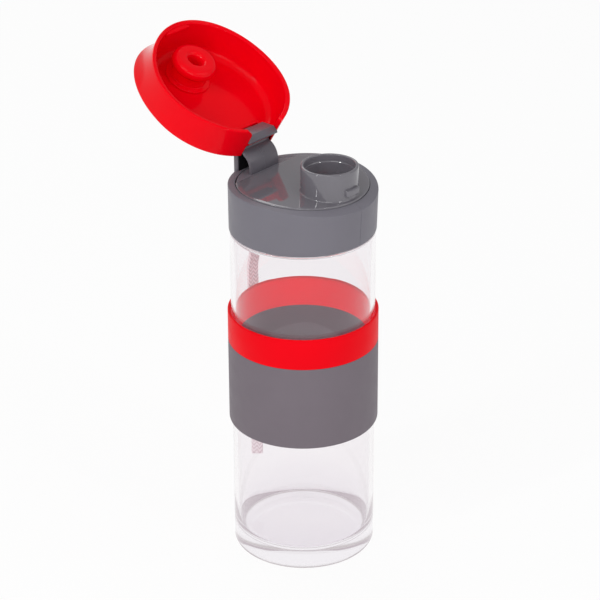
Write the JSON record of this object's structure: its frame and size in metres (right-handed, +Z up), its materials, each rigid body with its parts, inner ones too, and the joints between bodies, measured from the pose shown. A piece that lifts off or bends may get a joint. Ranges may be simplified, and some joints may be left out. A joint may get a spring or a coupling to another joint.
{
  "type": "water bottle",
  "caption": "Clear straight drinking bottle with a soft grip band, a screw cap with a raised spout, a hinged flip lid with a stopper plug, and a hanging webbing strap.",
  "frame": {"origin": "centre of the base, on the surface that the bottle stands on", "axes": "+Z up along the bottle, +Y towards the lid's hinge, the spout is at -Y"},
  "size_m": [0.0776, 0.1405, 0.2701],
  "materials": {
    "clear_glass": "clear with a faint warm tint, polished",
    "grey_silicone": "soft matt silicone",
    "red_silicone": "soft satin silicone",
    "grey_plastic": "fine matt grain",
    "grey_gloss": "gloss",
    "seal_silicone": "soft silicone",
    "red_gloss": "high gloss",
    "plug_silicone": "smooth satin silicone",
    "webbing": "woven webbing with a herringbone weave"
  },
  "bodies": {
    "bottle": {"bottle_body": "clear_glass", "grip_sleeve": "grey_silicone", "grip_band": "red_silicone"},
    "seal": {"cap_seal": "seal_silicone"},
    "cap": {"collar_ring": "grey_plastic", "spout_deck": "grey_gloss", "strap_loop": "webbing"},
    "lid": {"lid_shell": "red_gloss", "lid_plug": "plug_silicone"}
  },
  "joints": [
    {"name": "cap_rise", "type": "slide", "parent": "bottle", "child": "seal", "axis": [0, 0, 1], "range_m": [0, 0.006]},
    {"name": "cap_turn", "type": "hinge", "parent": "seal", "child": "cap", "pos_m": [0, 0, 0.19], "axis": [0, 0, 1], "range_deg": [0, 540]},
    {"name": "lid_hinge", "type": "hinge", "parent": "cap", "child": "lid", "pos_m": [0, 0.0325, 0.21965], "axis": [1, 0, 0], "range_deg": [0, 150.5]}
  ],
  "couplings": [
    {"joint": "cap_rise", "follows": "cap_turn", "m_per_rad": 0.00063662}
  ]
}
